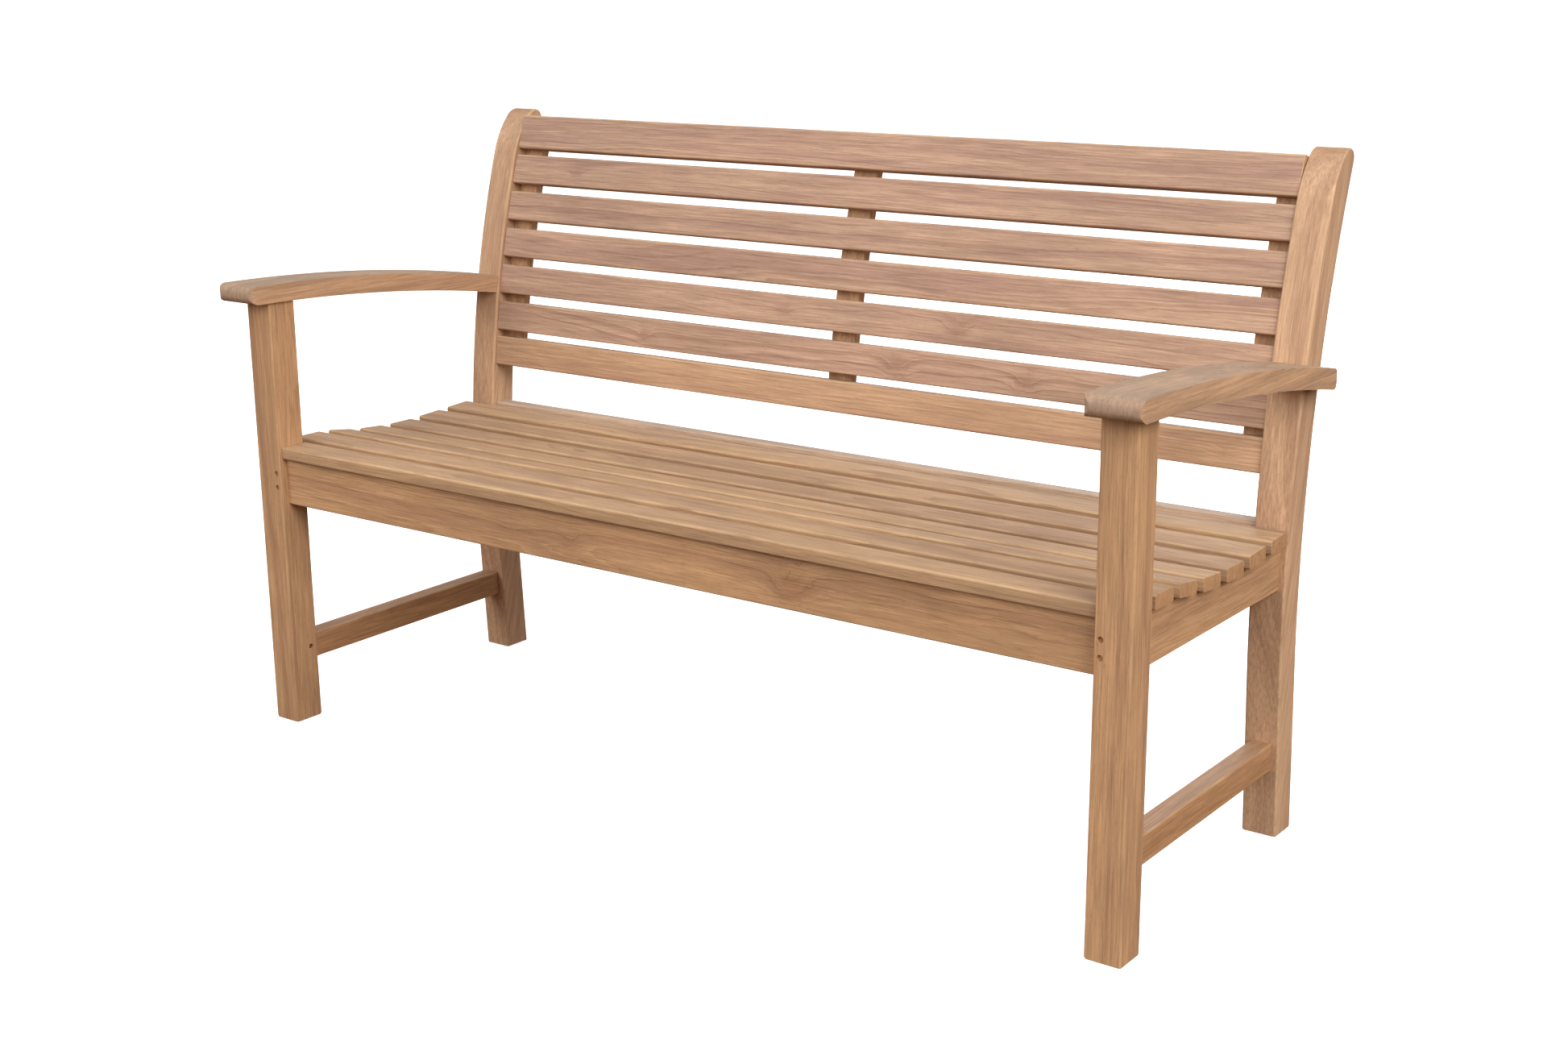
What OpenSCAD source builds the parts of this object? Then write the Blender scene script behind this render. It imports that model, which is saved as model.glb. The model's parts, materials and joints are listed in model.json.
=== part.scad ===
// Three-seat garden bench in solid hardwood.
// Two curved rear legs and two straight front legs are joined by mortised rails and stretchers.
// The seat and the back are slats, and two arched arms close the ends.
//
// Millimetres. X runs along the bench, Y from front to back and Z up.
// The origin is on the floor, at the centre of the overall box.
// Left is -X and right is +X, as seen by someone who looks at the bench from the front.

/* [Overall size] */
// width over both arms
overall_w = 1540; // [1200:10:1900]
// depth from the noses of the arms to the tops of the rear legs
overall_d = 641; // [570:1:780]
// height of the rear legs
back_h = 919; // [850:1:1110]
// height of the flat front part of the seat
seat_h = 445; // [370:1:540]
// height of the arms at their noses
arm_h = 697; // [640:1:840]

/* [Legs] */
// side of the square legs
leg_t = 49; // [40:0.5:60]
// how far the rear legs stand inside the line of the front legs
rear_leg_inset = 10; // [0:1:18]
// radius of the curved fronts of the rear legs
back_curve_r = 1745; // [1450:5:2400]
// height at which the rear legs stand furthest forward
waist_h = 320; // [260:5:340]
// angle at which the rear legs kick back towards the floor, in degrees
foot_rake = 3; // [0:0.5:4]

/* [Rails and stretchers] */
// thickness of the apron and the seat rails
rail_t = 24; // [18:0.5:29]
// height of the front apron
rail_h = 72; // [58:1:87]
// how far the apron stands behind the faces of the front legs
apron_setback = 14; // [6:0.5:18]
// how far the side rails stand inside the outer faces of the front legs
side_rail_setback = 19.5; // [14:0.5:24]
// width of the lower stretchers
stretcher_w = 30; // [24:1:38]
// height of the lower stretchers
stretcher_h = 40; // [30:1:48]
// height of the middle of the lower stretchers above the floor
stretcher_mid_h = 117; // [90:1:180]

/* [Seat] */
// width of a seat slat
seat_slat_w = 48; // [40:0.5:58]
// thickness of a seat slat
seat_slat_t = 19; // [16:0.5:24]
// how far the seat slats stand out over the side rails
seat_slat_overhang = 11.5; // [5:0.5:16]
// depth of the dip in the seat
seat_dip = 15; // [6:0.5:18]
// radius of the dip in the seat
seat_dip_r = 850; // [700:10:1400]
// gap between the last seat slat and the rear legs
last_slat_gap = 11; // [4:0.5:16]

/* [Back] */
// height of the top back slat
top_slat_w = 56; // [48:0.5:69]
// height of the other back slats
back_slat_w = 48; // [40:0.5:58]
// thickness of the back slats
back_slat_t = 20; // [16:0.5:22]
// how far the back slats stand behind the fronts of the rear legs
back_slat_recess = 5; // [2:0.5:8]
// open height between the front of the seat and the lowest back slat
back_open_h = 58; // [40:1:90]
// thickness of the battens and the stile behind the back slats
batten_t = 15; // [12:0.5:18]
// width of the battens at the ends of the back slats
batten_w = 38; // [30:1:46]
// width of the stile at the middle of the back
stile_w = 41; // [32:1:50]

/* [Arms] */
// width of an arm
arm_w = 76; // [64:1:90]
// thickness of an arm
arm_t = 28; // [22:0.5:34]
// radius of the arched tops of the arms
arm_curve_r = 3150; // [2600:10:4000]
// how far the arms stand out in front of the front legs
arm_nose = 35; // [20:1:45]
// how far the arms stand out past the outer faces of the front legs
arm_overhang = 20; // [10:1:30]

/* [Joinery] */
// thickness of the tenons
tenon_t = 10; // [8:0.5:12]
// diameter of the pins that lock the tenons
pin_d = 8; // [6:0.5:10]
// how far the pins are sunk below the wood
pin_sink = 3; // [1:0.5:5]
// diameter of the screws
screw_d = 4.5; // [3.5:0.5:5.5]

/* [Hidden] */
$fn = 64;

arc_fn = 720;                   // sides of the wide arcs of the legs and the arms
cut = 1;                        // how far a cutter passes the wood that it cuts
slat_count = 7;
back_slat_count = 7;

// Where the legs stand
front_leg_out = overall_w / 2 - arm_overhang;
front_leg_in = front_leg_out - leg_t;
rear_leg_out = front_leg_out - rear_leg_inset;
rear_leg_in = rear_leg_out - leg_t;
front_face = arm_nose - overall_d / 2;
front_leg_back = front_face + leg_t;

// The curve of the rear legs: two arcs about one centre behind the bench
top_front_r = 28;               // tight round at the top front corner of a rear leg
top_sweep_r = 150;              // wide round that leads the front of the leg into it
top_rear_r = 14;                // round at the top rear corner
top_sweep_h = back_h - 68;      // where the wide round leaves the front of the leg
rear_face_r = back_curve_r - leg_t;
curve_y = overall_d / 2 - top_rear_r
    + sqrt(pow(rear_face_r + top_rear_r, 2) - pow(back_h - top_rear_r - waist_h, 2));
rake_y = curve_y - back_curve_r * cos(foot_rake);
rake_z = waist_h - back_curve_r * sin(foot_rake);

// Front of the rear legs at a height, on the arc and on the straight foot below it
function arc_face(z) = curve_y - sqrt(pow(back_curve_r, 2) - pow(z - waist_h, 2));
function foot_face(z) = rake_y + (rake_z - z) * tan(foot_rake);
function rear_leg_face(z) = z > rake_z ? arc_face(z) : foot_face(z);

// Heights of the seat frame
rail_bottom = seat_h - seat_slat_t - rail_h;
rail_joint_z = rail_bottom + 0.54 * rail_h;
rail_tenon_h = 0.62 * rail_h;
stretcher_tenon_h = 0.6 * stretcher_h;
pin_pair_gap = 0.31 * rail_h;   // between the two pins through a tenon of the apron
pin_edge = 8.5;                 // from the shoulder of a rail to the middle of its pins

// Where the rails run
rear_leg_rail_face = rear_leg_face(rail_joint_z);
apron_front = front_face + apron_setback;
apron_back = apron_front + rail_t;
rear_rail_back = rear_leg_rail_face + leg_t - apron_setback;
rear_rail_front = rear_rail_back - rail_t;
side_rail_out = front_leg_out - side_rail_setback;
side_rail_x = side_rail_out - rail_t / 2;
stretcher_x = front_leg_in + stretcher_w / 2;
long_tenon = 0.6 * leg_t;
rear_rail_tenon = 0.5 * leg_t;
tenon_wall = 2;                 // wood left between two tenons in one leg
side_tenon = leg_t - apron_setback - rail_t / 2 - tenon_t / 2 - tenon_wall;
bearer_tenon = rail_t / 2;

// The seat: slats from the front legs to the rear legs, and the top of the rear rail
first_slat_inset = 6;           // from the front of the legs to the first slat
slat_end_gap = 0.5;             // play between a slat and the legs beside it
first_slat_y = front_face + first_slat_inset + seat_slat_w / 2;
last_slat_y = rear_leg_face(seat_h) - last_slat_gap - seat_slat_w / 2;
slat_pitch = (last_slat_y - first_slat_y) / (slat_count - 1);
dip_y = first_slat_y + 4 * slat_pitch;
seat_rise = 3.4;                // angle of the straight rear part of the seat, in degrees
dip_start_y = dip_y - sqrt(2 * seat_dip * seat_dip_r);
rise_y = dip_y + seat_dip_r * tan(seat_rise);

function dip_z(y) = seat_h - seat_dip + pow(y - dip_y, 2) / (2 * seat_dip_r);
function seat_z(y) = y < dip_start_y ? seat_h
    : y < rise_y ? dip_z(y)
    : dip_z(rise_y) + (y - rise_y) * tan(seat_rise);
function seat_tilt(y) = y < dip_start_y ? 0
    : y < rise_y ? atan((y - dip_y) / seat_dip_r)
    : seat_rise;
function slat_y(i) = first_slat_y + i * slat_pitch;

rear_rail_top = seat_z(rear_rail_front);

// A point of the underside of a seat slat, as [y, z]
function slat_underside(i, across) =
    let (tilt = seat_tilt(slat_y(i)))
    [slat_y(i) + across * cos(tilt) + seat_slat_t * sin(tilt),
     seat_z(slat_y(i)) + across * sin(tilt) - seat_slat_t * cos(tilt)];

// The back: slats laid round the curve of the rear legs, from the top down
back_face_r = back_curve_r - back_slat_recess;
back_top_gap = 7.5;             // from the tops of the rear legs to the top slat
back_top_angle = asin((back_h - back_top_gap - waist_h) / back_face_r);
back_low_angle = asin((seat_h + back_open_h - waist_h) / back_face_r);
back_arc = (back_top_angle - back_low_angle) * PI / 180 * back_face_r;
back_slat_sum = top_slat_w + (back_slat_count - 1) * back_slat_w;
end_gap_share = 0.81;           // the highest and lowest gaps, as a share of the others
back_gap = (back_arc - back_slat_sum) / (back_slat_count - 3 + 2 * end_gap_share);

function back_slat_h(i) = i == 0 ? top_slat_w : back_slat_w;
function gap_above(i) = i == 1 || i == back_slat_count - 1 ? end_gap_share * back_gap : back_gap;

// How far the middle of a back slat lies below the top of the back, along the curve
function back_slat_down(i) = i == 0 ? top_slat_w / 2
    : back_slat_down(i - 1) + back_slat_h(i - 1) / 2 + gap_above(i) + back_slat_h(i) / 2;
function angle_down(run) = back_top_angle - run / back_face_r * 180 / PI;
function back_slat_angle(i) = angle_down(back_slat_down(i));

// A point behind the front of a back slat, as [y, z]
function behind_slat(i, up, back) =
    let (lean = back_slat_angle(i), r = back_face_r - back)
    [curve_y - r * cos(lean) + up * sin(lean), waist_h + r * sin(lean) + up * cos(lean)];

// The arms: two arcs about one centre below the bench
arm_out = overall_w / 2;
arm_in = arm_out - arm_w;
arm_apex_y = front_face - 1.6 * arm_nose;
arm_centre_z = arm_h - arm_curve_r;
arm_under_r = arm_curve_r - arm_t;
function arm_top(y) = arm_centre_z + sqrt(pow(arm_curve_r, 2) - pow(y - arm_apex_y, 2));
arm_rear_z = arm_top(rear_leg_face(arm_h)) - arm_t / 2;
tongue_end = rear_leg_face(arm_rear_z) + 0.65 * leg_t;
nose_y = -overall_d / 2;
nose_r = 0.47 * arm_t;          // rounds of the nose, seen from the side
tongue_r = 0.28 * arm_t;        // rounds of the end of the tongue, seen from the side
nose_in_r = 0.93 * nose_r;      // round of the inner front corner, seen from above
nose_out_r = 6;                 // round of the outer front corner, seen from above
arm_tenon_w = 0.5 * leg_t;
arm_tenon_h = 0.55 * arm_t;

// Screws and dowels
head_d = 2 * screw_d;
screw_tip = screw_d;
seat_screw_grip = 30;           // wood of the rail under a seat slat that a screw passes
seat_screw_bite = 0.6 * seat_slat_t;
back_screw_bite = 0.6 * back_slat_t;
batten_screw_bite = 0.4 * leg_t;
dowel_d = 8;
dowel_reach = 0.36 * leg_t;     // how far an arm dowel goes into each piece

wood = "#b98a5e";
pin_wood = "#8a5f3c";
steel = "#b8bbc0";

// ---- Helpers ----

module both_sides() {
    children();
    mirror([1, 0, 0]) children();
}

// Turns a profile drawn in [y, z] into a board from x0 to x1
module board(x0, x1) {
    translate([x0, 0, 0])
        rotate([90, 0, 90])
            linear_extrude(x1 - x0) children();
}

// A box given by its two ends in x, y and z
module block(x, y, z) {
    translate([x[0], y[0], z[0]]) cube([x[1] - x[0], y[1] - y[0], z[1] - z[0]]);
}

// The waste outside a rounded corner: the wedge between two directions, less the round
module corner_waste(centre, r, from_angle, to_angle) {
    from_tip = 2 * r * [cos(from_angle), sin(from_angle)];
    to_tip = 2 * r * [cos(to_angle), sin(to_angle)];
    translate(centre) difference() {
        polygon([[0, 0], from_tip, from_tip + to_tip, to_tip]);
        circle(r);
    }
}

// Rods along X and Y, given by their start, length and diameter
module rod_x(start, length, d) {
    translate(start) rotate([0, 90, 0]) cylinder(h = length, d = d);
}

module rod_y(start, length, d) {
    translate(start) rotate([-90, 0, 0]) cylinder(h = length, d = d);
}

// A countersunk screw that points up, with the flat of its head at the origin
module screw(length) {
    head_h = (head_d - screw_d) / 2;
    cylinder(h = head_h, d1 = head_d, d2 = screw_d);
    translate([0, 0, head_h]) cylinder(h = length - head_h - screw_tip, d = screw_d);
    translate([0, 0, length - screw_tip]) cylinder(h = screw_tip, d1 = screw_d, d2 = 0.5);
}

// ---- Profiles, drawn in [y, z] ----

// Side view of a rear leg: a raked foot under an arc, with a rounded top
module rear_leg_profile() {
    sweep_angle = asin((top_sweep_h - waist_h) / back_curve_r);
    sweep_centre = [curve_y - (back_curve_r - top_sweep_r) * cos(sweep_angle),
                    waist_h + (back_curve_r - top_sweep_r) * sin(sweep_angle)];
    tight_z = back_h - top_front_r;
    tight_y = sweep_centre[0]
        - sqrt(pow(top_sweep_r - top_front_r, 2) - pow(tight_z - sweep_centre[1], 2));
    tight_angle = atan2(tight_z - sweep_centre[1], tight_y - sweep_centre[0]);
    rear_z = back_h - top_rear_r;
    rear_y = overall_d / 2 - top_rear_r;
    rear_angle = atan2(waist_h - rear_z, curve_y - rear_y);
    difference() {
        intersection() {
            difference() {
                behind_leg_face(back_curve_r);
                behind_leg_face(rear_face_r);
            }
            square([overall_d, back_h]);
        }
        // wide round, from where it leaves the front of the leg to the tight round
        sweep_waste(sweep_centre, 180 - sweep_angle, tight_angle);
        corner_waste([tight_y, tight_z], top_front_r, tight_angle, 90);
        corner_waste([rear_y, rear_z], top_rear_r, 90, rear_angle);
    }
}

// Everything behind a face of the rear leg: a disc, and a straight foot that leaves it at a tangent
module behind_leg_face(r) {
    leaving = [curve_y - r * cos(foot_rake), waist_h - r * sin(foot_rake)];
    foot = leaving + waist_h * [sin(foot_rake), -cos(foot_rake)];
    translate([curve_y, waist_h]) circle(r, $fn = arc_fn);
    polygon([[curve_y, waist_h], leaving, foot, [curve_y, foot[1]]]);
}

module sweep_waste(centre, low_angle, high_angle) {
    reach = 1.3 * top_sweep_r;
    translate(centre) difference() {
        polygon([
            [0, 0],
            reach * [cos(low_angle), sin(low_angle)],
            reach * [cos(high_angle), sin(high_angle)]
        ]);
        circle(top_sweep_r);
    }
}

// Side view of everything under the seat slats: the tops of the rails follow the slats, and run
// on level behind the last one
module seat_support_profile() {
    half = seat_slat_w / 2;
    slat_ends = [for (i = [0 : slat_count - 1]) each [slat_underside(i, -half), slat_underside(i, half)]];
    first = slat_ends[0];
    last = slat_ends[len(slat_ends) - 1];
    polygon(concat(slat_ends, [
        [rear_rail_back, last[1]],
        [rear_rail_back, rail_bottom],
        [first[0], rail_bottom]
    ]));
}

module seat_support(y0, y1) {
    intersection() {
        seat_support_profile();
        translate([y0, 0]) square([y1 - y0, seat_h]);
    }
}

// Side view of an arm, still whole at the rear leg
module arm_profile() {
    difference() {
        intersection() {
            translate([arm_apex_y, arm_centre_z]) difference() {
                circle(arm_curve_r, $fn = arc_fn);
                circle(arm_under_r, $fn = arc_fn);
            }
            translate([nose_y, arm_h / 2]) square([tongue_end - nose_y, arm_h]);
        }
        arm_end_waste(nose_y + nose_r, nose_r, 180);
        arm_end_waste(tongue_end - tongue_r, tongue_r, 0);
    }
}

// The waste above and below the rounds at one end of an arm, which faces the angle end_angle
module arm_end_waste(y, r, end_angle) {
    top_lean = asin((y - arm_apex_y) / (arm_curve_r - r));
    low_lean = asin((y - arm_apex_y) / (arm_under_r + r));
    corner_waste([y, arm_centre_z + (arm_curve_r - r) * cos(top_lean)], r, 90 - top_lean, end_angle);
    corner_waste([y, arm_centre_z + (arm_under_r + r) * cos(low_lean)], r, 270 - low_lean, end_angle);
}

// Plan of the right arm in [x, y], with its front corners rounded
module arm_plan() {
    difference() {
        translate([arm_in, nose_y]) square([arm_w, tongue_end - nose_y]);
        corner_waste([arm_in + nose_in_r, nose_y + nose_in_r], nose_in_r, 180, 270);
        corner_waste([arm_out - nose_out_r, nose_y + nose_out_r], nose_out_r, 270, 360);
    }
}

// Side view of the strip behind the back slats, with a flat for each slat
module batten_profile() {
    trim = 6;                   // how far the ends stop inside the top and bottom slats
    rim = function (back) [for (i = [0 : back_slat_count - 1])
        let (half = back_slat_h(i) / 2,
             high = i == 0 ? half - trim : half,
             low = i == back_slat_count - 1 ? half - trim : half)
        each [behind_slat(i, high, back), behind_slat(i, -low, back)]];
    front = rim(back_slat_t);
    rear = rim(back_slat_t + batten_t);
    polygon(concat(front, [for (i = [len(rear) - 1 : -1 : 0]) rear[i]]));
}

// ---- Tenons: each one is added to a rail and cut from the leg that it enters ----

module apron_tenon() {
    mid = apron_front + rail_t / 2;
    block([front_leg_in - cut, front_leg_in + long_tenon],
          [mid - tenon_t / 2, mid + tenon_t / 2],
          [rail_joint_z - rail_tenon_h / 2, rail_joint_z + rail_tenon_h / 2]);
}

module rear_rail_tenon_block() {
    mid = rear_rail_front + rail_t / 2;
    block([rear_leg_in - cut, rear_leg_in + rear_rail_tenon],
          [mid - tenon_t / 2, mid + tenon_t / 2],
          [rail_joint_z - rail_tenon_h / 2, rail_joint_z + rail_tenon_h / 2]);
}

module side_rail_tenons() {
    x = [side_rail_x - tenon_t / 2, side_rail_x + tenon_t / 2];
    z = [rail_joint_z - rail_tenon_h / 2, rail_joint_z + rail_tenon_h / 2];
    block(x, [front_leg_back - side_tenon, front_leg_back + cut], z);
    block(x, [rear_leg_rail_face - cut, rear_leg_rail_face + side_tenon], z);
}

module stretcher_tenons() {
    x = [stretcher_x - tenon_t / 2, stretcher_x + tenon_t / 2];
    z = [stretcher_mid_h - stretcher_tenon_h / 2, stretcher_mid_h + stretcher_tenon_h / 2];
    rear = rear_leg_face(stretcher_mid_h);
    block(x, [front_leg_back - long_tenon, front_leg_back + cut], z);
    block(x, [rear - cut, rear + long_tenon], z);
}

module bearer_tenons() {
    x = [-tenon_t / 2, tenon_t / 2];
    z = [rail_joint_z - rail_tenon_h / 2, rail_joint_z + rail_tenon_h / 2];
    block(x, [apron_back - bearer_tenon, apron_back + cut], z);
    block(x, [rear_rail_front - cut, rear_rail_front + bearer_tenon], z);
}

module arm_tenon() {
    mid_x = front_leg_in + leg_t / 2;
    mid_y = front_face + leg_t / 2;
    top = arm_top(mid_y) - arm_t + arm_tenon_h;
    block([mid_x - arm_tenon_w / 2, mid_x + arm_tenon_w / 2],
          [mid_y - arm_tenon_w / 2, mid_y + arm_tenon_w / 2],
          [top - 2 * arm_tenon_h, top]);
}

// ---- Pins, dowels and screws on the right side; drill = true gives their holes ----

// Two pins through the front of the front leg and a tenon of the apron, which stop short of
// the tenon of the side rail
module apron_pin_pair(drill = false) {
    start = front_face + (drill ? -cut : pin_sink);
    end = front_leg_back - side_tenon - tenon_wall / 2;
    for (side = [-1, 1])
        rod_y([front_leg_in + pin_edge, start, rail_joint_z + side * pin_pair_gap / 2],
              end - start, pin_d);
}

// Two pins through the back of the rear leg and a tenon of the rear rail
module rear_rail_pin_pair(drill = false) {
    end = rear_leg_rail_face + leg_t + (drill ? 2 * cut : -pin_sink);
    start = rear_leg_rail_face + side_tenon + tenon_wall / 2;
    for (side = [-1, 1])
        rod_y([rear_leg_in + pin_edge, start, rail_joint_z + side * pin_pair_gap / 2],
              end - start, pin_d);
}

// A pin through the inner face of a leg, at a point given as [y, z]
module leg_pin(leg_in, at, drill) {
    start = leg_in + (drill ? -cut : pin_sink);
    rod_x([start, at[0], at[1]], leg_in + 5 / 6 * leg_t - start, pin_d);
}

module side_rail_pin_set(drill = false) {
    leg_pin(front_leg_in, [front_leg_back - side_tenon / 2, rail_joint_z], drill);
    leg_pin(rear_leg_in, [rear_leg_rail_face + side_tenon / 2, rail_joint_z], drill);
}

module stretcher_pin(drill = false) {
    leg_pin(front_leg_in, [front_leg_back - 0.24 * leg_t, stretcher_mid_h], drill);
}

// Two dowels from the tongue of the arm into the outer face of the rear leg
module arm_dowel_pair() {
    mid_y = (rear_leg_face(arm_rear_z) + tongue_end) / 2;
    for (side = [-1, 1]) {
        y = mid_y + side * dowel_d;
        rod_x([rear_leg_out - dowel_reach, y, arm_top(y) - arm_t / 2], 2 * dowel_reach, dowel_d);
    }
}

// A screw up through a rail into seat slat i, square to the slat
module seat_screw(i, x, across, drill = false) {
    length = seat_screw_grip + seat_screw_bite;
    translate([x, slat_y(i), seat_z(slat_y(i))])
        rotate([seat_tilt(slat_y(i)), 0, 0])
            translate([0, across, -seat_slat_t - seat_screw_grip]) {
                screw(length);
                if (drill)
                    translate([0, 0, -rail_h]) cylinder(h = rail_h, d = head_d);
            }
}

// The screws of slat i: four along the apron, or one through each of the other rails
module seat_slat_screws(i, drill = false) {
    if (i == 0)
        for (share = [-0.85, -0.3, 0.3, 0.85])
            seat_screw(i, share * front_leg_in, apron_front + rail_t / 2 - slat_y(i), drill);
    else
        for (x = [-side_rail_x, 0, side_rail_x]) seat_screw(i, x, 0, drill);
}

// The screws of back slat i, two through each batten and two through the stile
module back_slat_screws(i) {
    batten_x = rear_leg_in - batten_w / 2;
    for (x = [-batten_x, 0, batten_x], side = [-1, 1]) {
        at = behind_slat(i, side * back_slat_h(i) / 4, back_slat_t + batten_t);
        translate([x, at[0], at[1]])
            rotate([90 - back_slat_angle(i), 0, 0])
                screw(batten_t + back_screw_bite);
    }
}

// Three screws sideways through the right batten into the rear leg, each behind a slat
module batten_screw_row() {
    for (i = [0, 2, 5]) {
        at = behind_slat(i, 0, back_slat_t + batten_t / 2);
        translate([rear_leg_in - batten_w, at[0], at[1]])
            rotate([0, 90, 0])
                screw(batten_w + batten_screw_bite);
    }
}

// ---- Pieces ----

module front_leg() {
    color(wood) difference() {
        union() {
            board(front_leg_in, front_leg_out) intersection() {
                translate([front_face, 0]) square([leg_t, arm_h]);
                translate([arm_apex_y, arm_centre_z]) circle(arm_under_r, $fn = arc_fn);
            }
            arm_tenon();
        }
        apron_tenon();
        side_rail_tenons();
        stretcher_tenons();
        apron_pin_pair(drill = true);
        side_rail_pin_set(drill = true);
        stretcher_pin(drill = true);
    }
}

module rear_leg() {
    color(wood) difference() {
        board(rear_leg_in, rear_leg_out) rear_leg_profile();
        rear_rail_tenon_block();
        side_rail_tenons();
        stretcher_tenons();
        rear_rail_pin_pair(drill = true);
        side_rail_pin_set(drill = true);
        arm_dowel_pair();
        batten_screw_row();
    }
}

// An arm: it stops at the front of the rear leg, and its tongue runs on outside the leg
module arm() {
    color(wood) difference() {
        intersection() {
            board(arm_in, arm_out) arm_profile();
            linear_extrude(arm_h) arm_plan();
        }
        board(min(arm_in, rear_leg_in) - cut, rear_leg_out) behind_leg_face(back_curve_r);
        arm_tenon();
        arm_dowel_pair();
    }
}

module front_apron() {
    color(wood) difference() {
        union() {
            board(-front_leg_in, front_leg_in) seat_support(apron_front, apron_back);
            both_sides() apron_tenon();
        }
        both_sides() apron_pin_pair(drill = true);
        bearer_tenons();
        seat_slat_screws(0, drill = true);
    }
}

// The rear rail: its top is the last strip of the seat, between the rear legs
module rear_seat_rail() {
    color(wood) difference() {
        union() {
            block([-rear_leg_in, rear_leg_in],
                  [rear_rail_front, rear_rail_back],
                  [rail_bottom, rear_rail_top]);
            both_sides() rear_rail_tenon_block();
        }
        both_sides() rear_rail_pin_pair(drill = true);
        bearer_tenons();
    }
}

module side_rail() {
    color(wood) difference() {
        union() {
            board(side_rail_x - rail_t / 2, side_rail_out) difference() {
                seat_support(front_leg_back, rear_leg_rail_face + leg_t / 2);
                rear_leg_profile();
            }
            side_rail_tenons();
        }
        side_rail_pin_set(drill = true);
        for (i = [1 : slat_count - 1]) seat_slat_screws(i, drill = true);
    }
}

module seat_bearer() {
    color(wood) difference() {
        union() {
            board(-rail_t / 2, rail_t / 2) seat_support(apron_back, rear_rail_front);
            bearer_tenons();
        }
        for (i = [1 : slat_count - 1]) seat_slat_screws(i, drill = true);
    }
}

module stretcher() {
    low = stretcher_mid_h - stretcher_h / 2;
    reach = rear_leg_face(0) - front_leg_back;
    color(wood) difference() {
        union() {
            board(front_leg_in, front_leg_in + stretcher_w) difference() {
                translate([front_leg_back, low]) square([reach, stretcher_h]);
                rear_leg_profile();
            }
            stretcher_tenons();
        }
        stretcher_pin(drill = true);
    }
}

// Seat slat i: the first fits between the front legs, the others run over the side rails
module seat_slat(i) {
    half = i == 0 ? front_leg_in - slat_end_gap : side_rail_out + seat_slat_overhang;
    color(wood) difference() {
        translate([0, slat_y(i), seat_z(slat_y(i))])
            rotate([seat_tilt(slat_y(i)), 0, 0])
                block([-half, half], [-seat_slat_w / 2, seat_slat_w / 2], [-seat_slat_t, 0]);
        seat_slat_screws(i);
    }
}

// Back slat i, counted from the top
module back_slat(i) {
    half = rear_leg_in - slat_end_gap;
    up = back_slat_h(i) / 2;
    color(wood) difference() {
        board(-half, half) polygon([
            behind_slat(i, -up, 0),
            behind_slat(i, up, 0),
            behind_slat(i, up, back_slat_t),
            behind_slat(i, -up, back_slat_t)
        ]);
        back_slat_screws(i);
    }
}

module back_batten() {
    color(wood) difference() {
        board(rear_leg_in - batten_w, rear_leg_in) batten_profile();
        for (i = [0 : back_slat_count - 1]) back_slat_screws(i);
        batten_screw_row();
    }
}

module back_stile() {
    color(wood) difference() {
        board(-stile_w / 2, stile_w / 2) batten_profile();
        for (i = [0 : back_slat_count - 1]) back_slat_screws(i);
    }
}

module apron_pins() {
    color(pin_wood) both_sides() apron_pin_pair();
}

module rear_rail_pins() {
    color(pin_wood) both_sides() rear_rail_pin_pair();
}

module side_rail_pins() {
    color(pin_wood) both_sides() side_rail_pin_set();
}

module stretcher_pins() {
    color(pin_wood) both_sides() stretcher_pin();
}

module arm_dowels() {
    color(pin_wood) both_sides() arm_dowel_pair();
}

module seat_screws() {
    color(steel) for (i = [0 : slat_count - 1]) seat_slat_screws(i);
}

module back_screws() {
    color(steel) for (i = [0 : back_slat_count - 1]) back_slat_screws(i);
}

module batten_screws() {
    color(steel) both_sides() batten_screw_row();
}

module mirrored() {
    mirror([1, 0, 0]) children();
}

// ---- The bench ----

mirrored() front_leg();  // front_leg_left
front_leg();  // front_leg_right
mirrored() rear_leg();  // rear_leg_left
rear_leg();  // rear_leg_right
mirrored() arm();  // arm_left
arm();  // arm_right
front_apron();
rear_seat_rail();
mirrored() side_rail();  // side_rail_left
side_rail();  // side_rail_right
seat_bearer();
mirrored() stretcher();  // stretcher_left
stretcher();  // stretcher_right
for (i = [1 : slat_count])
    seat_slat(i - 1);
for (i = [1 : back_slat_count])
    back_slat(i - 1);
mirrored() back_batten();  // back_batten_left
back_batten();  // back_batten_right
back_stile();
apron_pins();
rear_rail_pins();
side_rail_pins();
stretcher_pins();
arm_dowels();
seat_screws();
back_screws();
batten_screws();
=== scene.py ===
"""Looks of the garden bench: eased teak boards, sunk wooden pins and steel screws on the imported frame."""
import json
import math

import bmesh
import bpy
from mathutils import Matrix, Vector
from mathutils.bvhtree import BVHTree

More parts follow.
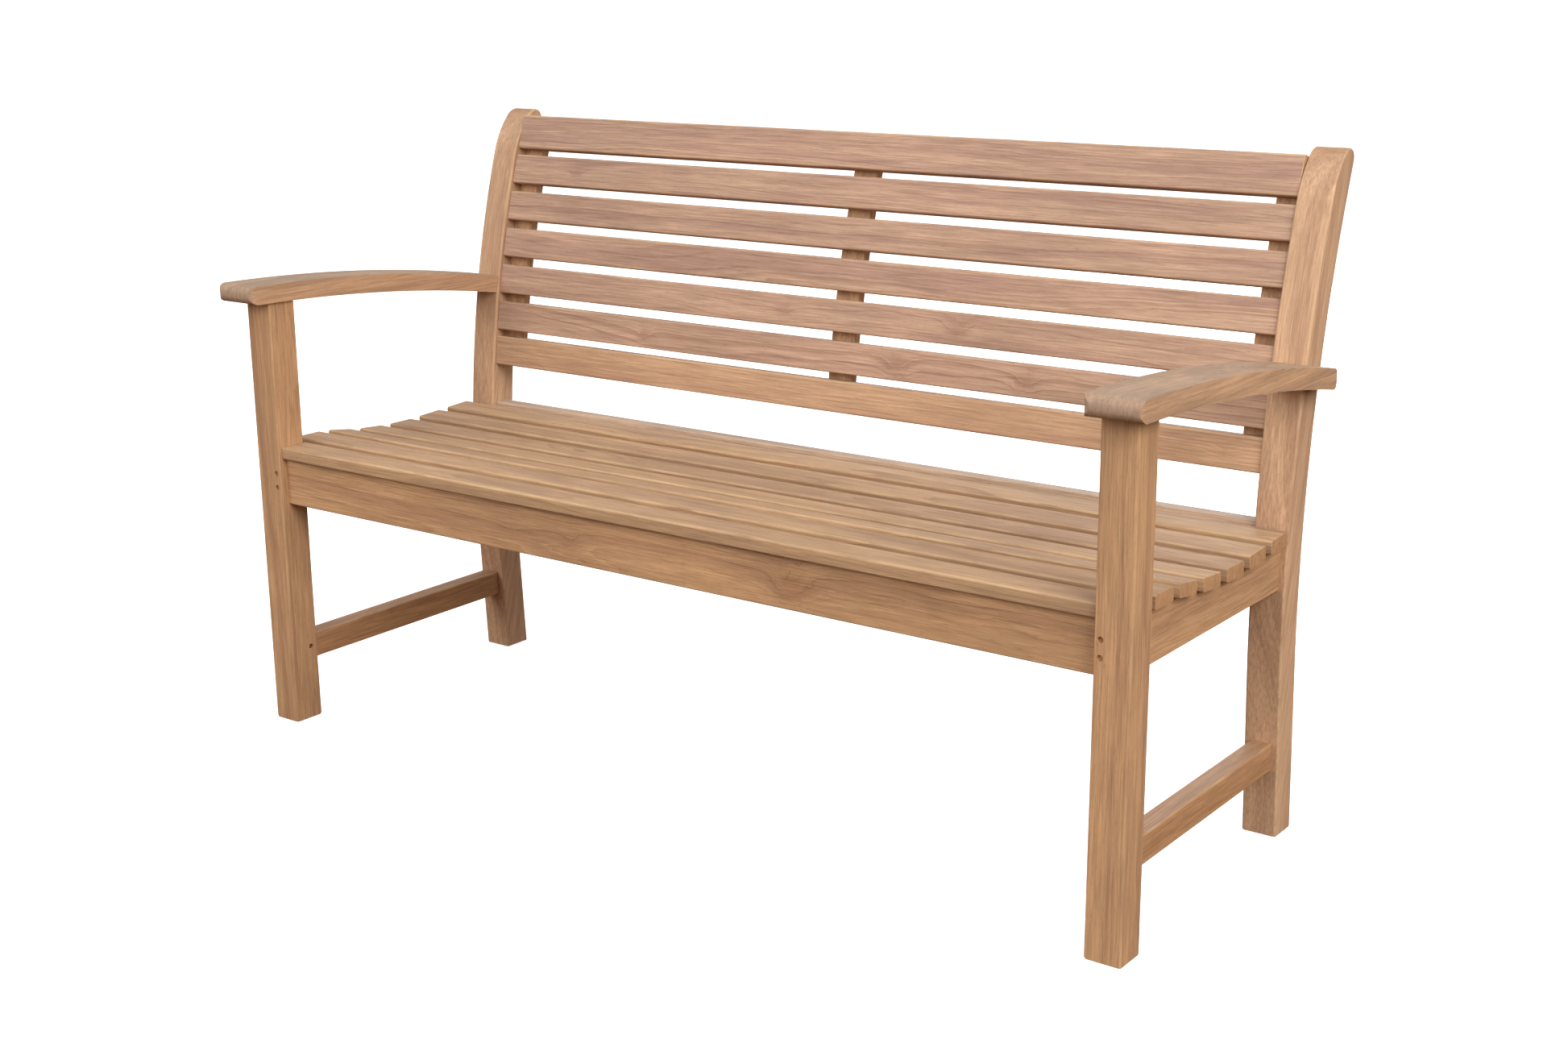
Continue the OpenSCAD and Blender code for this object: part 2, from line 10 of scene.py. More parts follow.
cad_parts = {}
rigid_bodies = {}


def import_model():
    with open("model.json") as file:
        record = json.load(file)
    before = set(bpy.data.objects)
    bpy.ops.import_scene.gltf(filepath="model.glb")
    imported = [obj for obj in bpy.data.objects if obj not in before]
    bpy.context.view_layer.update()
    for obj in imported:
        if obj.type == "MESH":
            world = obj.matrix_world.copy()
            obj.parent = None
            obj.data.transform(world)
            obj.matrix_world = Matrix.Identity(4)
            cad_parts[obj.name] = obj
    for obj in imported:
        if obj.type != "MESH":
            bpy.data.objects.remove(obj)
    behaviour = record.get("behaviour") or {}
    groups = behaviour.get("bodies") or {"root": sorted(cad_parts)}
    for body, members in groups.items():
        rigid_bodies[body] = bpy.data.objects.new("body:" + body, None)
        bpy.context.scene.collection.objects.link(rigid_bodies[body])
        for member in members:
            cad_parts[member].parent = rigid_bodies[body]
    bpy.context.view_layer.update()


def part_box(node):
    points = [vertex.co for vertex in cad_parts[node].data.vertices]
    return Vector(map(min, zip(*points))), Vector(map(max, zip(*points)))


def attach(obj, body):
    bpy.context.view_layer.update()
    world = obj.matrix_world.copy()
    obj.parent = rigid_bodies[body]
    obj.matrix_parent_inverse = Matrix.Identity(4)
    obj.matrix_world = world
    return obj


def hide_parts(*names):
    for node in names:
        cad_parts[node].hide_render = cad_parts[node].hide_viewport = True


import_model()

MM = 0.001


# ---------------------------------------------------------------- places on the frame

def low(node):
    """The node's corner with the lowest x, y and z."""
    return Vector(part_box(node)[0])


def high(node):
    """The node's corner with the highest x, y and z."""
    return Vector(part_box(node)[1])


def middle(node):
    return (low(node) + high(node)) / 2


SIDES = ("left", "right")
SEAT_SLATS = ["seat_slat_%d" % n for n in range(1, 8)]
BACK_SLATS = ["back_slat_%d" % n for n in range(1, 8)]


# ---------------------------------------------------------------- camera

CAMERA_PLACE = (1.7873, -2.3507, 1.1669)
CAMERA_YAW, CAMERA_PITCH, CAMERA_ROLL = 0.6371, -0.2627, 0.0085  # radians
CAMERA_LENS = 48.39


def add_camera():
    """Stands in front of the bench's right end and looks down on it."""
    data = bpy.data.cameras.new("camera")
    data.lens = CAMERA_LENS
    data.sensor_width = 36.0
    camera = bpy.data.objects.new("camera", data)
    turn = (
        Matrix.Rotation(CAMERA_YAW, 4, "Z")
        @ Matrix.Rotation(math.radians(90) + CAMERA_PITCH, 4, "X")
        @ Matrix.Rotation(-CAMERA_ROLL, 4, "Z")
    )
    camera.matrix_world = Matrix.Translation(CAMERA_PLACE) @ turn
    bpy.context.scene.collection.objects.link(camera)
    bpy.context.scene.camera = camera


# ---------------------------------------------------------------- stage and light

FLOOR_HALF_WIDTH = 200.0
SKY = (0.97, 0.99, 1.03, 1)
GROUND_GLOW = (0.13, 0.065, 0.03, 1)
WHITE = (1, 1, 1, 1)
LAMP_SIZE = 3.0


def add_floor():
    """A wide white floor that gives off some light, so shadows on it stay faint."""
    material = bpy.data.materials.new("floor_white")
    material.use_nodes = True
    shader = material.node_tree.nodes["Principled BSDF"]
    shader.inputs["Base Color"].default_value = (0.9, 0.9, 0.9, 1)
    shader.inputs["Roughness"].default_value = 0.9
    shader.inputs["Specular IOR Level"].default_value = 0.0
    shader.inputs["Emission Color"].default_value = WHITE
    shader.inputs["Emission Strength"].default_value = 0.6
    bm = bmesh.new()
    bmesh.ops.create_grid(bm, x_segments=1, y_segments=1, size=FLOOR_HALF_WIDTH)
    mesh = bpy.data.meshes.new("floor")
    bm.to_mesh(mesh)
    bm.free()
    mesh.materials.append(material)
    floor = bpy.data.objects.new("floor", mesh)
    floor.visible_diffuse = False
    floor.visible_glossy = False
    bpy.context.scene.collection.objects.link(floor)


def add_area(name, place, aim, power):
    """A soft square lamp that looks from one place at another."""
    data = bpy.data.lights.new(name, "AREA")
    data.size = LAMP_SIZE
    data.energy = power
    lamp = bpy.data.objects.new(name, data)
    facing = (Vector(aim) - Vector(place)).to_track_quat("-Z", "Y").to_matrix().to_4x4()
    lamp.matrix_world = Matrix.Translation(place) @ facing
    bpy.context.scene.collection.objects.link(lamp)


def add_light():
    """A pale sky that fades to a warm dark ground, seen as plain white, and soft lamps on three sides."""
    world = bpy.data.worlds.new("studio")
    world.use_nodes = True
    t = Tree(world.node_tree)
    sky = t.tree.nodes["Background"]
    split = t.put("ShaderNodeSeparateXYZ")
    t.feed(split.inputs["Vector"], t.put("ShaderNodeTexCoord").outputs["Generated"])
    above = t.spread(split.outputs["Z"], -0.15, 0.75, smooth=True)
    light = t.mix(above, GROUND_GLOW, SKY)
    seen = t.put("ShaderNodeLightPath").outputs["Is Camera Ray"]
    t.feed(sky.inputs["Color"], t.mix(seen, light, WHITE))
    sky.inputs["Strength"].default_value = 1.0
    bpy.context.scene.world = world
    add_area("key", (4.6, -2.0, 3.2), (0, 0, 0.4), 210)
    add_area("fill", (-1.6, -4.4, 2.4), (0, 0, 0.5), 85)
    add_area("back", (-1.0, 4.8, 1.1), (0, 0, 0.6), 90)
    bpy.context.scene.view_settings.view_transform = "Standard"


# ---------------------------------------------------------------- node helpers

class Tree:
    """Short words for putting nodes in a tree and joining them."""

    def __init__(self, tree):
        self.tree = tree

    def put(self, kind, **settings):
        node = self.tree.nodes.new(kind)
        for key, value in settings.items():
            setattr(node, key, value)
        return node

    def feed(self, socket, source):
        if hasattr(source, "is_output"):
            self.tree.links.new(source, socket)
        else:
            socket.default_value = source

    def math(self, kind, *values, clamp=False):
        node = self.put("ShaderNodeMath", operation=kind, use_clamp=clamp)
        for socket, value in zip(node.inputs, values):
            self.feed(socket, value)
        return node.outputs[0]

    def vector(self, kind, *values):
        node = self.put("ShaderNodeVectorMath", operation=kind)
        for socket, value in zip(node.inputs, values):
            self.feed(socket, value)
        return node.outputs["Value" if kind == "LENGTH" else "Vector"]

    def noise(self, place, seed, scale, detail=2.0, rough=0.5):
        node = self.put("ShaderNodeTexNoise", noise_dimensions="4D")
        self.feed(node.inputs["Vector"], place)
        self.feed(node.inputs["W"], seed)
        self.feed(node.inputs["Scale"], scale)
        self.feed(node.inputs["Detail"], detail)
        self.feed(node.inputs["Roughness"], rough)
        return node.outputs["Fac"]

    def mix(self, share, first, second, blend="MIX"):
        node = self.put("ShaderNodeMix", data_type="RGBA", blend_type=blend)
        self.feed(node.inputs["Factor"], share)
        self.feed(node.inputs["A"], first)
        self.feed(node.inputs["B"], second)
        return node.outputs["Result"]

    def spread(self, value, from_low, from_high, to_low=0.0, to_high=1.0, smooth=False):
        node = self.put("ShaderNodeMapRange", interpolation_type="SMOOTHSTEP" if smooth else "LINEAR")
        for socket, item in zip(node.inputs, (value, from_low, from_high, to_low, to_high)):
            self.feed(socket, item)
        return node.outputs["Result"]


def new_group(name, inputs, outputs):
    """A shader node group with named inputs (kind, default) and outputs."""
    group = bpy.data.node_groups.new(name, "ShaderNodeTree")
    for label, (kind, value) in inputs.items():
        socket = group.interface.new_socket(label, in_out="INPUT", socket_type="NodeSocket" + kind)
        if value is not None:
            socket.default_value = value
    for label, kind in outputs.items():
        group.interface.new_socket(label, in_out="OUTPUT", socket_type="NodeSocket" + kind)
    tree = Tree(group)
    return tree, tree.put("NodeGroupInput"), tree.put("NodeGroupOutput")


# ---------------------------------------------------------------- wood

def linear(red, green, blue):
    """A colour from the usual 0 to 255 screen values."""
    def one(value):
        value /= 255.0
        return value / 12.92 if value <= 0.04045 else ((value + 0.055) / 1.055) ** 2.4
    return (one(red), one(green), one(blue), 1.0)


WANDER = 60 * MM  # how far the heart of the tree strays at most
RIPPLE = 7 * MM  # how far the years ripple
STAINED = 0.5  # share of the dusky stain where it is strongest


def make_teak_group():
    """Sawn teak. X runs along the grain and the heart of the tree lies along Y = Z = 0."""
    t, given, out = new_group(
        "teak_grain",
        {
            "Place": ("Vector", None),
            "End": ("Float", 0.0),
            "Seed": ("Float", 0.0),
            "Ring": ("Float", 0.004),
            "Swell": ("Float", 0.0),
            "Core": ("Float", 0.0),
            "Figure": ("Float", 0.5),
            "Light": ("Color", (0.56, 0.36, 0.21, 1)),
            "Dark": ("Color", (0.36, 0.20, 0.12, 1)),
            "Stain": ("Color", (0.42, 0.26, 0.19, 1)),
            "Sawn": ("Color", (0.40, 0.24, 0.13, 1)),
        },
        {"Color": "Color", "Rough": "Float", "Height": "Float"},
    )
    place, seed, figure = given.outputs["Place"], given.outputs["Seed"], given.outputs["Figure"]

    def stretched(along, across, detail, rough=0.5, shift=0.0):
        """Noise drawn out along the grain, with this many cells in a metre along and across it."""
        cells = t.vector("MULTIPLY", place, (along, across, across))
        return t.noise(cells, t.math("ADD", seed, shift), scale=1.0, detail=detail, rough=rough)

    def along_years(scale, detail, shift):
        """Noise that changes from year to year and stays the same round each year."""
        node = t.put("ShaderNodeTexNoise", noise_dimensions="1D")
        t.feed(node.inputs["W"], t.math("MULTIPLY_ADD", seed, shift, year))
        t.feed(node.inputs["Scale"], scale)
        t.feed(node.inputs["Detail"], detail)
        return node.outputs["Fac"]

    # the heart of the tree wanders slowly along the board, and the years ripple on it
    bend = t.math("SUBTRACT", stretched(along=1.7, across=8.0, detail=2.0, rough=0.45), 0.5)
    ripple = t.math("SUBTRACT", stretched(along=9.0, across=60.0, detail=3.0, rough=0.55, shift=11.0), 0.5)
    radius = t.vector("LENGTH", t.vector("MULTIPLY", place, (0.0, 1.0, 1.0)))
    radius = t.math("MULTIPLY_ADD", bend, WANDER, radius)
    radius = t.math("MULTIPLY_ADD", ripple, RIPPLE, radius)
    radius = t.math("ADD", radius, given.outputs["Swell"])
    year = t.math("DIVIDE", radius, given.outputs["Ring"])
    year = t.math("MULTIPLY_ADD", along_years(scale=0.7, detail=1.0, shift=7.3), 1.8, year)

    # each year ends in a dark line, and some lines are stronger than others
    part = t.math("FRACT", year)
    late = t.math("MULTIPLY", t.math("POWER", part, 2.2), t.spread(part, 0.9, 1.0, 1.0, 0.0, smooth=True))
    strength = t.put("ShaderNodeTexNoise", noise_dimensions="1D")
    t.feed(strength.inputs["W"], t.math("MULTIPLY_ADD", seed, 3.1, t.math("FLOOR", year)))
    t.feed(strength.inputs["Scale"], 0.83)
    t.feed(strength.inputs["Detail"], 0.0)
    late = t.math("MULTIPLY", late, t.spread(strength.outputs["Fac"], 0.36, 0.66, 0.2, 1.0))

    # dusky bands follow the years, and dusky clouds lie across them
    band = along_years(scale=0.24, detail=2.0, shift=5.7)
    cloud = stretched(along=5.0, across=22.0, detail=3.0, rough=0.55, shift=23.0)
    dusk = t.math("MULTIPLY_ADD", band, 0.55, t.math("MULTIPLY", cloud, 0.45))
    dusk = t.spread(dusk, 0.44, 0.62, smooth=True)

    # long dark and pale streaks, fine fibres, short dark pores and broad uneven blotches
    streak = t.spread(stretched(along=3.0, across=170.0, detail=2.0, shift=31.0), 0.56, 0.72, smooth=True)
    pale = t.spread(stretched(along=4.0, across=210.0, detail=2.0, shift=47.0), 0.58, 0.74, smooth=True)
    fibre = stretched(along=14.0, across=420.0, detail=3.0, rough=0.65, shift=5.0)
    pore = t.spread(stretched(along=80.0, across=1600.0, detail=1.0, shift=61.0), 0.60, 0.72, smooth=True)
    blotch = stretched(along=3.0, across=14.0, detail=2.0, shift=71.0)

    light, dark, stain = given.outputs["Light"], given.outputs["Dark"], given.outputs["Stain"]
    colour = t.mix(t.math("MULTIPLY", late, figure), light, dark)
    colour = t.mix(t.math("MULTIPLY", dusk, STAINED), colour, stain)
    colour = t.mix(t.math("MULTIPLY", streak, t.math("MULTIPLY", figure, 0.6)), colour, stain)
    paler = t.mix(1.0, light, (1.16, 1.14, 1.08, 1), "MULTIPLY")
    colour = t.mix(t.math("MULTIPLY", pale, 0.4), colour, paler)
    colour = t.mix(1.0, colour, t.spread(fibre, 0.3, 0.7, 0.74, 1.22), "MULTIPLY")
    colour = t.mix(t.math("MULTIPLY", pore, 0.4), colour, dark)
    colour = t.mix(1.0, colour, t.spread(blotch, 0.3, 0.7, 0.88, 1.10), "MULTIPLY")
    colour = t.mix(t.math("MULTIPLY", given.outputs["Core"], 0.75), colour, dark)

    # sawn ends are darker and rougher than the long faces, with short streaks across the years
    saw_marks = t.vector("MULTIPLY", place, (40.0, 260.0, 60.0))
    sawn = t.noise(saw_marks, seed, scale=1.0, detail=3.0, rough=0.6)
    sawn = t.mix(1.0, given.outputs["Sawn"], t.spread(sawn, 0.3, 0.7, 0.72, 1.28), "MULTIPLY")
    colour = t.mix(t.math("MULTIPLY", given.outputs["End"], 0.8), colour, sawn)
    rough = t.math("MULTIPLY_ADD", given.outputs["End"], 0.2, t.spread(fibre, 0.3, 0.7, 0.66, 0.54))
    height = t.math("MULTIPLY_ADD", fibre, 0.5, t.math("MULTIPLY", pore, -0.9))
    height = t.math("MULTIPLY_ADD", late, 0.5, height)
    t.feed(out.inputs["Color"], colour)
    t.feed(out.inputs["Rough"], rough)
    t.feed(out.inputs["Height"], height)
    return t.tree


def make_painted_light_group():
    """Paints cool grey sky light on the faces that look up, in patches, and a paler painted highlight on
    the marked rounded arrises.
    """
    t, given, out = new_group(
        "painted_light",
        {
            "Color": ("Color", (0.5, 0.3, 0.2, 1)),
            "Up": ("Float", 0.0),
            "Sky_paint": ("Float", 0.4),
            "Highlight": ("Float", 0.0),
            "Place": ("Vector", None),
        },
        {"Color": "Color"},
    )
    patch = t.noise(given.outputs["Place"], seed=2.0, scale=28.0, detail=4.0, rough=0.6)
    # Painted sky light: the more a face looks up, the cooler and greyer it is painted, in patches.
    share = t.math("MULTIPLY", t.spread(given.outputs["Up"], 0.4, 0.95), given.outputs["Sky_paint"])
    share = t.math("MULTIPLY", share, t.spread(patch, 0.3, 0.7, 0.6, 1.3), clamp=True)
    grey = t.mix(1.0, given.outputs["Color"], linear(206, 210, 220), "MULTIPLY")
    grey = t.mix(0.35, grey, linear(160, 147, 131))
    colour = t.mix(share, given.outputs["Color"], grey)
    # Painted highlight: the marked rounded arrises are painted paler and warmer, in patches.
    highlight_patches = t.noise(given.outputs["Place"], seed=4.0, scale=9.0, detail=3.0, rough=0.6)
    highlight_share = t.math("MULTIPLY", given.outputs["Highlight"], t.spread(highlight_patches, 0.42, 0.66, 0.0, 0.40), clamp=True)
    colour = t.mix(highlight_share, colour, linear(226, 190, 142))
    t.feed(out.inputs["Color"], colour)
    return t.tree


def make_knot_group():
    """Lifts the years round a branch, so that they close in loops on it, and darkens its core."""
    t, given, out = new_group(
        "branch_knot",
        {
            "Place": ("Vector", None),
            "Swell": ("Float", 0.0),
            "Core": ("Float", 0.0),
            "Centre": ("Vector", None),
            "Reach": ("Vector", None),
            "Lift": ("Float", 0.02),
        },
        {"Swell": "Float", "Core": "Float"},
    )
    away = t.vector("SUBTRACT", given.outputs["Place"], given.outputs["Centre"])
    away = t.vector("LENGTH", t.vector("DIVIDE", away, given.outputs["Reach"]))
    uneven = t.noise(given.outputs["Place"], seed=5.0, scale=60.0)
    away = t.math("ADD", away, t.math("SUBTRACT", uneven, 0.5))
    square = t.math("MULTIPLY", away, away)
    bump = t.math("EXPONENT", t.math("MULTIPLY", square, -1.0))
    core = t.math("EXPONENT", t.math("MULTIPLY", square, -14.0))
    halo = t.math("MULTIPLY", t.math("EXPONENT", t.math("MULTIPLY", square, -2.0)), 0.6)
    core = t.math("MAXIMUM", core, halo)
    t.feed(out.inputs["Swell"], t.math("MULTIPLY_ADD", bump, given.outputs["Lift"], given.outputs["Swell"]))
    t.feed(out.inputs["Core"], t.math("MAXIMUM", core, given.outputs["Core"]))
    return t.tree


KNOT_LENGTH, KNOT_DEPTH, KNOT_LIFT = 1.5, 2.0, 0.7  # shares of the knot's size
ORANGE_END = linear(180, 134, 92)
GREY_END = linear(168, 140, 118)
GRAIN_TURN = {"X": (0, 0, 0), "Y": (0, 0, -math.pi / 2), "Z": (0, math.pi / 2, 0)}
TEAK_GROUP = make_teak_group()
KNOT_GROUP = make_knot_group()
PAINTED_LIGHT_GROUP = make_painted_light_group()


def teak(name, along, centre, pith, seed, tone, ring=5 * MM, figure=0.6, lean=0.0, sky_paint=0.5, knots=(),
         sawn=ORANGE_END):
    """One board's wood: `centre` is the board's middle and `pith` the heart's place seen from it."""
    material = bpy.data.materials.new("teak_" + name)
    material.use_nodes = True
    t = Tree(material.node_tree)
    shader = t.tree.nodes["Principled BSDF"]
    source = t.put("ShaderNodeTexCoord")

    settle = t.put("ShaderNodeMapping", vector_type="TEXTURE")
    t.feed(settle.inputs["Vector"], source.outputs["Object"])
    settle.inputs["Location"].default_value = centre
    settle.inputs["Rotation"].default_value = GRAIN_TURN[along]
    tree_place = t.put("ShaderNodeMapping", vector_type="POINT")
    t.feed(tree_place.inputs["Vector"], settle.outputs["Vector"])
    tree_place.inputs["Location"].default_value = (0.0, -pith[0], -pith[1])
    tree_place.inputs["Rotation"].default_value = (0.0, 0.0, lean)
    facing = t.put("ShaderNodeSeparateXYZ")
    t.feed(facing.inputs["Vector"], source.outputs["Normal"])
    end = t.spread(t.math("ABSOLUTE", facing.outputs[along]), 0.55, 0.9, smooth=True)

    grain = t.put("ShaderNodeGroup", node_tree=TEAK_GROUP)
    t.feed(grain.inputs["Place"], tree_place.outputs["Vector"])
    t.feed(grain.inputs["End"], end)
    light, dark, stain = tone
    values = {"Seed": seed, "Ring": ring, "Figure": figure,
              "Light": light, "Dark": dark, "Stain": stain, "Sawn": sawn}
    for label, value in values.items():
        grain.inputs[label].default_value = value

    knot = None
    for place, size in knots:
        last, knot = knot, t.put("ShaderNodeGroup", node_tree=KNOT_GROUP)
        t.feed(knot.inputs["Place"], settle.outputs["Vector"])
        knot.inputs["Centre"].default_value = (place, 0.0, 0.0)
        knot.inputs["Reach"].default_value = (KNOT_LENGTH * size, KNOT_DEPTH * size, size)
        knot.inputs["Lift"].default_value = KNOT_LIFT * size
        if last:
            for label in ("Swell", "Core"):
                t.feed(knot.inputs[label], last.outputs[label])
    if knot:
        for label in ("Swell", "Core"):
            t.feed(grain.inputs[label], knot.outputs[label])

    # Paints cool sky light on the upward faces and a highlight on the rounded arrises.
    painted_light = t.put("ShaderNodeGroup", node_tree=PAINTED_LIGHT_GROUP)
    # The rounded arrises, marked for the painted highlight.
    edge_highlight = t.put("ShaderNodeAttribute", attribute_name="edge_highlight")
    t.feed(painted_light.inputs["Color"], grain.outputs["Color"])
    t.feed(painted_light.inputs["Up"], facing.outputs["Z"])
    t.feed(painted_light.inputs["Highlight"], edge_highlight.outputs["Fac"])
    t.feed(painted_light.inputs["Place"], source.outputs["Object"])
    # How much painted cool sky light the upward faces get.
    painted_light.inputs["Sky_paint"].default_value = sky_paint

    bump = t.put("ShaderNodeBump")
    bump.inputs["Strength"].default_value = 0.35
    bump.inputs["Distance"].default_value = 0.4 * MM
    t.feed(bump.inputs["Height"], grain.outputs["Height"])
    t.feed(shader.inputs["Base Color"], painted_light.outputs["Color"])
    t.feed(shader.inputs["Roughness"], grain.outputs["Rough"])
    t.feed(shader.inputs["Normal"], bump.outputs["Normal"])
    shader.inputs["Specular IOR Level"].default_value = 0.3
    return material


# ---------------------------------------------------------------- boards with eased arrises

SHARP = math.radians(30)
FLAT = math.radians(0.5)
SAME_PLACE = 0.002 * MM
OPEN_WAY = 120 * MM  # an outside corner has no wood before it for this far

# How far the long arrises are rounded, and the outline of the ends
ARM_ARRIS, ARM_END = 5 * MM, 4 * MM
LEG_ARRIS, LEG_END = 3 * MM, 1.2 * MM
SLAT_ARRIS, SLAT_END = 3 * MM, 1 * MM
RAIL_ARRIS, RAIL_END = 2.5 * MM, 0.5 * MM
STRIP_ARRIS, STRIP_END = 2 * MM, 0.6 * MM


def merged(node):
    """A bmesh of the CAD node with its loose triangles merged into faces."""
    bm = bmesh.new()
    bm.from_mesh(bpy.data.objects[node].data)
    bmesh.ops.remove_doubles(bm, verts=bm.verts, dist=SAME_PLACE)
    bmesh.ops.dissolve_limit(bm, angle_limit=FLAT, verts=bm.verts, edges=bm.edges)
    bmesh.ops.dissolve_degenerate(bm, dist=SAME_PLACE, edges=bm.edges)
    return bm


def open_arris(tree, edge):
    """True on an outside corner of the board: not on the rim of a hole, slot or mortise."""
    if len(edge.link_faces) != 2 or not edge.is_convex or edge.calc_face_angle() < SHARP:
        return False
    middle_point = (edge.verts[0].co + edge.verts[1].co) / 2
    first, second = (face.normal for face in edge.link_faces)
    inside = middle_point - (first + second) * 0.2 * MM
    for normal in (first, second):
        hit = tree.ray_cast(inside + normal * 0.5 * MM, normal, OPEN_WAY)
        if hit[0] is not None:
            return False
    return True


def ease(bm, edges, radius, segments=3):
    """Rounds the edges and marks the new faces, which the material then paints paler as a painted highlight
    along the rounded arrises.
    """
    edge_highlight = bm.faces.layers.float.get("edge_highlight") or bm.faces.layers.float.new("edge_highlight")
    made = bmesh.ops.bevel(bm, geom=list(edges), affect="EDGES", offset=radius, offset_type="OFFSET",
                           segments=segments, profile=0.5, material=-1, clamp_overlap=True)
    for face in made["faces"]:
        face[edge_highlight] = 1.0


def on_end(edge, axis, place):
    """True on an edge that lies in the plane across the axis at this place."""
    return all(abs(vert.co[axis] - place) < 0.01 * MM for vert in edge.verts)


def between(edge, axis, start, stop):
    """True on an edge that doesn't reach past start or stop on the axis."""
    return all(start - 0.05 * MM <= vert.co[axis] <= stop + 0.05 * MM for vert in edge.verts)


def finish_piece(bm, name, node, material):
    """Puts the board in the scene in place of its CAD node."""
    mesh = bpy.data.meshes.new(name)
    bmesh.ops.recalc_face_normals(bm, faces=bm.faces)
    bm.to_mesh(mesh)
    bm.free()
    mesh.shade_smooth()
    piece = bpy.data.objects.new(name, mesh)
    bpy.context.scene.collection.objects.link(piece)
    mesh.materials.append(material)
    weighted = piece.modifiers.new("even_shading", "WEIGHTED_NORMAL")
    weighted.keep_sharp = True
    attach(piece, "root")
    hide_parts(node)


def eased_board(node, axis, start, stop, radius, end_radius, material, pick=None):
    """Rounds a board's long arrises from start to stop on its axis, then the outline of each end."""
    bm = merged(node)
    tree = BVHTree.FromBMesh(bm)
    arrises = [
        edge for edge in bm.edges
        if between(edge, axis, start, stop)
        and not on_end(edge, axis, start)
        and not on_end(edge, axis, stop)
        and open_arris(tree, edge)
        and (pick is None or pick(edge))
    ]
    ease(bm, arrises, radius)
    if end_radius:
        tree = BVHTree.FromBMesh(bm)
        ends = [
            edge for edge in bm.edges
            if (on_end(edge, axis, start) or on_end(edge, axis, stop)) and open_arris(tree, edge)
        ]
        ease(bm, ends, end_radius, 2)
    for edge in bm.edges:
        edge.smooth = not (len(edge.link_faces) == 2 and edge.calc_face_angle() > SHARP)
    finish_piece(bm, node + "_board", node, material)


# ---------------------------------------------------------------- pieces

# Tones of wood: the pale ground, the dark lines of the years and the dusky stain of each
SANDY = (linear(196, 158, 118), linear(146, 103, 72), linear(160, 124, 98))
ROSY = (linear(195, 159, 132), linear(142, 100, 80), linear(160, 122, 108))
TAWNY = (linear(206, 166, 130), linear(150, 106, 76), linear(172, 132, 104))
DUSKY = (linear(196, 156, 120), linear(146, 104, 76), linear(166, 130, 104))
PALE = (linear(214, 182, 152), linear(158, 116, 90), linear(178, 144, 122))
HONEY = (linear(200, 156, 114), linear(140, 92, 60), linear(160, 118, 90))
AMBER = (linear(196, 148, 104), linear(136, 84, 52), linear(150, 106, 78))


# Where branches show in the boards: the place along the board, and the size of the knot
KNOTS = {
    "front_apron": ((0.257, 0.024), (-0.12, 0.012)),
    "back_slat_2": ((-0.55, 0.012),),
    "back_slat_5": ((-0.10, 0.010), (0.21, 0.016)),
    "back_slat_6": ((-0.37, 0.012), (0.11, 0.018), (0.33, 0.018)),
    "back_slat_7": ((0.64, 0.012),),
}


def runs_along(axis):
    """Picks the edges that run mostly along an axis."""
    def pick(edge):
        run = (edge.verts[1].co - edge.verts[0].co).normalized()
        return abs(run[axis]) > 0.6
    return pick


def runs_past(axis):
    """Picks the edges that lie square to an axis."""
    def pick(edge):
        run = (edge.verts[1].co - edge.verts[0].co).normalized()
        return abs(run[axis]) < 0.3
    return pick


def make_upright(node, seed, pick, tone, **grain):
    """A leg, eased along its picked arrises and round its foot."""
    wood = teak(node, "Z", tuple(middle(node)), (0.035, -0.05), seed, tone, **grain)
    above_top = high(node).z + MM
    eased_board(node, 2, low(node).z, above_top, LEG_ARRIS, LEG_END, wood, pick)


def make_legs():
    """The grain of each rear leg leans back as the slats of the back do."""
    rise = middle(BACK_SLATS[0]) - middle(BACK_SLATS[-1])
    lean = math.atan2(rise.y, rise.z)
    for seed, side in enumerate(SIDES):
        make_upright("front_leg_" + side, 3 + seed, runs_along(2), HONEY, figure=0.45)
        make_upright("rear_leg_" + side, 13 + seed, runs_past(0), TAWNY, figure=0.45, lean=lean)


def make_arms():
    """The bull-nose is already round, so only the long arrises and the rear end are eased."""
    for seed, side in enumerate(SIDES):
        node = "arm_" + side
        # The arms' tops get the most painted sky light.
        wood = teak(node, "Y", tuple(middle(node)), (0.02, -0.06), 23 + seed, DUSKY, figure=0.4, sky_paint=0.7,
                    sawn=GREY_END)
        before_nose = low(node).y - MM
        eased_board(node, 1, before_nose, high(node).y, ARM_ARRIS, ARM_END, wood)


def make_end_rails():
    """The rails and stretchers from front leg to rear leg, eased behind the front leg."""
    for seed, side in enumerate(SIDES):
        for node, tone in (("side_rail_" + side, HONEY), ("stretcher_" + side, AMBER)):
            start = high("front_leg_" + side).y
            wood = teak(node, "Y", tuple(middle(node)), (0.06, 0.02), 33 + 5 * seed, tone)
            eased_board(node, 1, start, high(node).y, RAIL_ARRIS, RAIL_END, wood)


def make_strips():
    """The battens and the stile behind the back slats."""
    for seed, node in enumerate(("back_batten_left", "back_batten_right", "back_stile")):
        wood = teak(node, "Z", tuple(middle(node)), (0.02, 0.06), 53 + seed, HONEY)
        eased_board(node, 2, low(node).z, high(node).z, STRIP_ARRIS, STRIP_END, wood)


